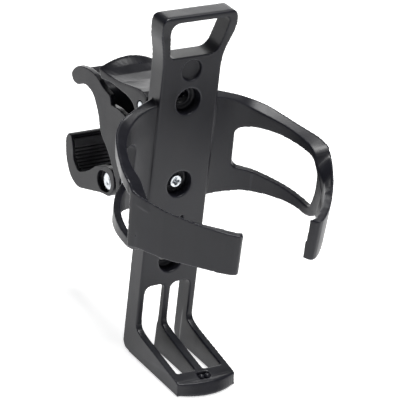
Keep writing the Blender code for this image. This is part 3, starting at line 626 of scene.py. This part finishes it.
def make_jaw_pad():
    """Ribbed rubber lining of the lower jaw."""
    face = [(y, z, 0.0) for y, z in circle(PAD_CENTRE, PAD_RADIUS, 5.0, -80.0, 24)]
    pad = prism("pad_rubber", rounded(face + PAD_BACK), -PAD_HALF, PAD_HALF)
    for index in range(GROOVE_COUNT):
        angle = radians(-2.5 - 11.4 * index)
        out = Vector((cos(angle), sin(angle)))
        side = Vector((-out.y, out.x)) * GROOVE_HALF
        middle = Vector(PAD_CENTRE)
        low, high = middle + out * (PAD_RADIUS - 1.0), middle + out * (PAD_RADIUS + GROOVE_DEPTH)
        groove = [low - side, low + side, high + side, high - side]
        cut(pad, prism("pad_groove", groove, -THROUGH, THROUGH))
    return moulded(pad, 0.14, 2, 0.35)


def make_release_lever():
    """Thumb lever with a dished top, two side walls and the pawl that locks the jaw."""
    sections = []
    for y, edge, crown in LEVER_ROWS:
        top = []
        for step in range(13):
            across = -1.0 + step / 6.0
            top.append(((CLAMP_HALF - 0.1) * across, y, edge + (crown - edge) * (1 - across ** 2)))
        sections.append(top + [(x, y, z - 1.5) for x, y, z in reversed(top)])
    lever = loft("lever_shell", sections)
    for low, high in ((9.7, CLAMP_HALF), (-CLAMP_HALF, -9.7)):
        join(lever, prism("lever_side", rounded(LEVER_SIDE), low, high))
    join(lever, prism("pawl", rounded(PAWL_SIDE), MIDDLE_LEFT, MIDDLE_RIGHT))
    cut(lever, cylinder("lever_pin_bore", LEVER_AXIS, SMALL_PIN_RADIUS + GAP, -THROUGH, THROUGH))
    return moulded(lever, 0.27, 4, 0.4)


def make_pin(name, axis, radius, half):
    """Straight pin along X with rounded ends."""
    profile = [(-half, 0.0), (-half, radius - 0.35), (-half + 0.1, radius - 0.12), (-half + 0.35, radius),
               (half - 0.35, radius), (half - 0.1, radius - 0.12), (half, radius - 0.35), (half, 0.0)]
    return bevelled(turned(name, profile, axis), 0.08)


def make_jaw_pin():
    """Hinge rivet of the jaw with a domed, dimpled head at each end."""
    profile = [(-x, radius) for x, radius in reversed(RIVET_HALF)] + RIVET_HALF[1:]
    return smooth(turned("hinge_rivet", profile, JAW_AXIS))


def make_spring(name, axis, radius, wire, low, high, turns, legs):
    """Torsion spring on a pin: a wire helix along X with a straight leg at each end."""
    curve = bpy.data.curves.new(name, "CURVE")
    curve.dimensions = "3D"
    curve.bevel_depth = wire * MM
    curve.bevel_resolution = 4
    curve.use_fill_caps = True
    start = atan2(legs[0][1] - axis[1], legs[0][0] - axis[0])
    finish = atan2(legs[1][1] - axis[1], legs[1][0] - axis[0])
    sweep = 2 * pi * turns + (finish - start) % (2 * pi)
    count = int(sweep / 0.2)
    path = []
    for step in range(count + 1):
        angle = start + sweep * step / count
        x = low + (high - low) * step / count
        path.append((x, axis[0] + radius * cos(angle), axis[1] + radius * sin(angle)))
    path.insert(0, (low, *legs[0]))
    path.append((high, *legs[1]))
    spline = curve.splines.new("POLY")
    spline.points.add(len(path) - 1)
    for point, place in zip(spline.points, path):
        point.co = (*(Vector(place) * MM), 1.0)
    wire_object = add_object(name, curve)
    bm = bmesh.new()
    bm.from_mesh(bpy.data.meshes.new_from_object(wire_object))
    bpy.data.objects.remove(wire_object, do_unlink=True)
    return smooth(add_object(name, finish_mesh(bm, name)))


def make_screw():
    """Pan-head cross-recess screw that holds the cage on the clamp."""
    screw = cylinder("screw_metal", (0, 0), SCREW_RADIUS, SEAT_Y - 1.0, 13.4, "Y", sides=32)
    head = cylinder("screw_head", (0, 0), 2.3, 2.4, SEAT_Y - GAP, "Y", end_radius=SCREW_HEAD_RADIUS)
    join(screw, head)
    for turn in (0, 1):
        wide, tall = (1.5, 0.35) if turn else (0.35, 1.5)
        outline = [(-wide, -tall), (wide, -tall), (wide, tall), (-wide, tall)]
        cut(screw, prism("cross_slot", outline, 1.0, 3.5, axis="Y"))
    return bevelled(screw, 0.12)


def make_nut():
    """Hex nut in the pocket of the clamp body."""
    nut = cylinder("nut_metal", (0, 0), NUT_RADIUS, 10.2, 12.6, "Y", sides=6)
    cut(nut, cylinder("nut_bore", (0, 0), SCREW_RADIUS + GAP, 9.0, THROUGH, "Y", sides=24))
    return bevelled(nut, 0.2)


def new_material(name):
    """Material with its node tree, its shader and a coordinate node in metres."""
    material = bpy.data.materials.new(name)
    material.use_nodes = True
    tree = material.node_tree
    place = tree.nodes.new("ShaderNodeTexCoord")
    return material, tree, tree.nodes["Principled BSDF"], place.outputs["Object"]


def noise(tree, place, scale, detail, roughness=0.5):
    """Noise over the object, scale in features per metre."""
    node = tree.nodes.new("ShaderNodeTexNoise")
    node.inputs["Scale"].default_value = scale
    node.inputs["Detail"].default_value = detail
    node.inputs["Roughness"].default_value = roughness
    tree.links.new(place, node.inputs["Vector"])
    return node.outputs["Fac"]


def stretch(tree, place, scale):
    """Coordinates stretched by a factor along each axis."""
    node = tree.nodes.new("ShaderNodeMapping")
    node.inputs["Scale"].default_value = scale
    tree.links.new(place, node.inputs["Vector"])
    return node.outputs["Vector"]


def ramp(tree, value, stops):
    """Colour ramp with (place, grey or colour) stops."""
    node = tree.nodes.new("ShaderNodeValToRGB")
    elements = node.color_ramp.elements
    for index, (place, colour) in enumerate(stops):
        element = elements[index] if index < 2 else elements.new(place)
        element.position = place
        tone = colour if isinstance(colour, tuple) else (colour, colour, colour)
        element.color = (*tone, 1.0)
    tree.links.new(value, node.inputs["Fac"])
    return node.outputs["Color"]


def span(tree, value, low, high, to_low, to_high):
    """Value moved from one range to another, held at the ends."""
    node = tree.nodes.new("ShaderNodeMapRange")
    for name, number in (("From Min", low), ("From Max", high), ("To Min", to_low), ("To Max", to_high)):
        node.inputs[name].default_value = number
    tree.links.new(value, node.inputs["Value"])
    return node.outputs["Result"]


def maths(tree, kind, first, second):
    """Arithmetic on two values, each a socket or a number."""
    node = tree.nodes.new("ShaderNodeMath")
    node.operation = kind
    for socket, value in zip(node.inputs, (first, second)):
        if isinstance(value, (int, float)):
            socket.default_value = value
        else:
            tree.links.new(value, socket)
    return node.outputs["Value"]


def bump(tree, heights):
    """Bump from (height socket, depth in mm) pairs, one after the other."""
    normal = None
    for height, depth in heights:
        node = tree.nodes.new("ShaderNodeBump")
        node.inputs["Strength"].default_value = 1.0
        node.inputs["Distance"].default_value = depth * MM
        tree.links.new(height, node.inputs["Height"])
        if normal is not None:
            tree.links.new(normal, node.inputs["Normal"])
        normal = node.outputs["Normal"]
    return normal


def plastic(name, tone, gloss, shine):
    """Satin black nylon: fine spark grain, slow flow marks, and convex edges painted paler as a painted
    highlight and made glossier.
    """
    material, tree, shader, place = new_material(name)
    grain = noise(tree, place, 5200.0, 2.0)
    flow = noise(tree, stretch(tree, place, (1.0, 1.0, 0.35)), 120.0, 4.0, 0.6)
    cloud = noise(tree, place, 38.0, 2.0)
    edge = tree.nodes.new("ShaderNodeNewGeometry").outputs["Pointiness"]
    # Mask of the convex edges from pointiness, for a painted highlight: paler base colour and lower
    # roughness there
    painted_edge_highlight = span(tree, edge, 0.505, 0.54, 0.0, 1.0)
    shade = ramp(tree, flow, [(0.3, tuple(0.8 * c for c in tone)), (0.7, tuple(1.25 * c for c in tone))])
    mix = tree.nodes.new("ShaderNodeMix")
    mix.data_type = "RGBA"
    tree.links.new(maths(tree, "MULTIPLY", painted_edge_highlight, 0.5), mix.inputs["Factor"])
    tree.links.new(shade, mix.inputs["A"])
    # Paler colour of the painted edge highlight
    mix.inputs["B"].default_value = (*(2.2 * c for c in tone), 1.0)
    tree.links.new(mix.outputs["Result"], shader.inputs["Base Color"])
    rough = span(tree, flow, 0.3, 0.7, gloss - 0.05, gloss + 0.06)
    rough = maths(tree, "ADD", rough, span(tree, cloud, 0.35, 0.65, -0.03, 0.04))
    rough = maths(tree, "SUBTRACT", rough, maths(tree, "MULTIPLY", painted_edge_highlight, 0.08))
    tree.links.new(rough, shader.inputs["Roughness"])
    shader.inputs["Specular IOR Level"].default_value = shine
    tree.links.new(bump(tree, [(cloud, 0.25), (flow, 0.03), (grain, 0.012)]), shader.inputs["Normal"])
    return material


def rubber(name):
    """Matte black rubber with a dusty, slightly uneven skin."""
    material, tree, shader, place = new_material(name)
    grain = noise(tree, place, 3000.0, 3.0, 0.6)
    dust = noise(tree, place, 260.0, 5.0, 0.7)
    tree.links.new(ramp(tree, dust, [(0.35, (0.045, 0.045, 0.050)), (0.75, (0.078, 0.078, 0.085))]),
                   shader.inputs["Base Color"])
    tree.links.new(span(tree, dust, 0.3, 0.7, 0.62, 0.82), shader.inputs["Roughness"])
    shader.inputs["Specular IOR Level"].default_value = 0.35
    tree.links.new(bump(tree, [(dust, 0.03), (grain, 0.02)]), shader.inputs["Normal"])
    return material


def plated_steel(name, tone, gloss):
    """Bright zinc plate with faint turning lines and small dull spots."""
    material, tree, shader, place = new_material(name)
    spots = noise(tree, place, 900.0, 4.0, 0.65)
    lines = noise(tree, stretch(tree, place, (6.0, 1.0, 1.0)), 1400.0, 2.0)
    tree.links.new(ramp(tree, spots, [(0.3, tuple(0.8 * c for c in tone)), (0.62, tone)]),
                   shader.inputs["Base Color"])
    shader.inputs["Metallic"].default_value = 1.0
    tree.links.new(span(tree, spots, 0.3, 0.7, gloss + 0.14, gloss - 0.04), shader.inputs["Roughness"])
    tree.links.new(bump(tree, [(lines, 0.006), (spots, 0.01)]), shader.inputs["Normal"])
    return material


def make_camera():
    """Camera looking down the line that the angles give, with its roll and its sideways offset."""
    turn, tilt, roll = radians(CAMERA_AZIMUTH), radians(CAMERA_ELEVATION), radians(CAMERA_ROLL)
    ahead = Vector((sin(turn) * cos(tilt), cos(turn) * cos(tilt), -sin(tilt)))
    right = Vector((cos(turn), -sin(turn), 0.0))
    up = right.cross(ahead)
    right, up = cos(roll) * right + sin(roll) * up, cos(roll) * up - sin(roll) * right
    spot = (CAMERA_ASIDE[0] * right + CAMERA_ASIDE[1] * up - CAMERA_DISTANCE * ahead) * MM + SHIFT
    lens = bpy.data.cameras.new("camera")
    lens.lens = CAMERA_LENS
    lens.sensor_width = 36.0
    lens.clip_start = 0.05
    camera = bpy.data.objects.new("camera", lens)
    bpy.context.scene.collection.objects.link(camera)
    camera.matrix_world = Matrix((
        (right.x, up.x, -ahead.x, spot.x), (right.y, up.y, -ahead.y, spot.y),
        (right.z, up.z, -ahead.z, spot.z), (0.0, 0.0, 0.0, 1.0)))
    bpy.context.scene.camera = camera


def make_light(name, spot, aim, size, power):
    """Soft box that points at a place."""
    lamp = bpy.data.lights.new(name, "AREA")
    lamp.shape = "RECTANGLE"
    lamp.size, lamp.size_y = size
    lamp.energy = power
    light = bpy.data.objects.new(name, lamp)
    bpy.context.scene.collection.objects.link(light)
    light.location = spot
    light.rotation_euler = (Vector(aim) - Vector(spot)).to_track_quat("-Z", "Y").to_euler()


def make_studio():
    """White floor under the foot, a pale surround and three soft boxes."""
    bm = bmesh.new()
    bmesh.ops.create_grid(bm, x_segments=8, y_segments=8, size=3.0)
    mesh = bpy.data.meshes.new("studio_floor")
    bm.to_mesh(mesh)
    bm.free()
    floor = add_object("studio_floor", mesh)
    floor.location = (0.0, 0.0, (FOOT_BOTTOM_Z - TUBE_AXIS[1]) * MM - 0.0002)
    material, tree, shader, place = new_material("floor_paper")
    fibre = noise(tree, place, 400.0, 3.0)
    tree.links.new(ramp(tree, fibre, [(0.3, 0.90), (0.7, 0.93)]), shader.inputs["Base Color"])
    tree.links.new(span(tree, fibre, 0.3, 0.7, 0.85, 0.95), shader.inputs["Roughness"])
    shader.inputs["Specular IOR Level"].default_value = 0.1
    shader.inputs["Emission Color"].default_value = (1.0, 1.0, 1.0, 1.0)
    shader.inputs["Emission Strength"].default_value = 0.72
    floor.data.materials.append(material)
    world = bpy.data.worlds.new("studio")
    world.use_nodes = True
    backdrop = world.node_tree.nodes["Background"]
    backdrop.inputs["Color"].default_value = (0.98, 0.99, 1.0, 1.0)
    backdrop.inputs["Strength"].default_value = 0.15
    bpy.context.scene.world = world
    bpy.context.scene.view_settings.view_transform = "Standard"
    for name, spot, size, power in LIGHTS:
        make_light(name, spot, LIGHT_AIM, size, power)


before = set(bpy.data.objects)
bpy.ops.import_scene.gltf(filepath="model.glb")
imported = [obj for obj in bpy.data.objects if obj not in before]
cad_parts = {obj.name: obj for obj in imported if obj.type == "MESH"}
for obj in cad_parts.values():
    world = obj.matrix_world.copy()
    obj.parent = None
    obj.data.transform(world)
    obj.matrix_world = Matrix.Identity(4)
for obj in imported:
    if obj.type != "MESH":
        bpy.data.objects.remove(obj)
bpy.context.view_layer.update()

make_camera()
make_studio()

cage_plastic = plastic("cage_plastic", (0.0080, 0.0082, 0.0122), 0.37, 0.37)
clamp_plastic = plastic("clamp_plastic", (0.0074, 0.0074, 0.0104), 0.35, 0.24)
pad_rubber = rubber("pad_rubber")
zinc = plated_steel("zinc_plate", (0.66, 0.69, 0.72), 0.24)
wire_steel = plated_steel("spring_wire", (0.50, 0.50, 0.52), 0.28)

settle(make_cage(), cage_plastic, "black_plastic", "cage_frame", "cage")
settle(make_clamp_body(), clamp_plastic, "clamp_plastic", "clamp_base", "clamp_body")
settle(make_jaw(), clamp_plastic, "clamp_plastic", "lower_jaw", "jaw")
settle(make_jaw_pad(), pad_rubber, "black_rubber", "lower_jaw", "jaw_pad")
settle(make_release_lever(), clamp_plastic, "clamp_plastic", "lever", "release_lever")
settle(make_jaw_pin(), zinc, "zinc_steel", "clamp_base", "jaw_pin")
stop_pin = make_pin("stop_pin_metal", STOP_AXIS, SMALL_PIN_RADIUS, 11.6)
settle(stop_pin, zinc, "zinc_steel", "clamp_base", "stop_pin")
lever_pin = make_pin("lever_pin_metal", LEVER_AXIS, SMALL_PIN_RADIUS, 12.0)
settle(lever_pin, zinc, "zinc_steel", "clamp_base", "lever_pin")
settle(make_spring("lever_spring_wire", LEVER_AXIS, 2.9, 0.45, 1.3, 5.6, 3, [(13.6, 17.0), (22.0, 28.2)]),
       wire_steel, "spring_steel", "clamp_base", "lever_spring")
settle(make_spring("jaw_spring_wire", JAW_AXIS, 3.5, 0.5, 1.2, 5.0, 2, [(18.4, -3.1), (37.6, -14.0)]),
       wire_steel, "spring_steel", "clamp_base", "jaw_spring")
settle(make_screw(), zinc, "zinc_steel", "clamp_base", "cage_screw")
settle(make_nut(), zinc, "zinc_steel", "clamp_base", "screw_nut")
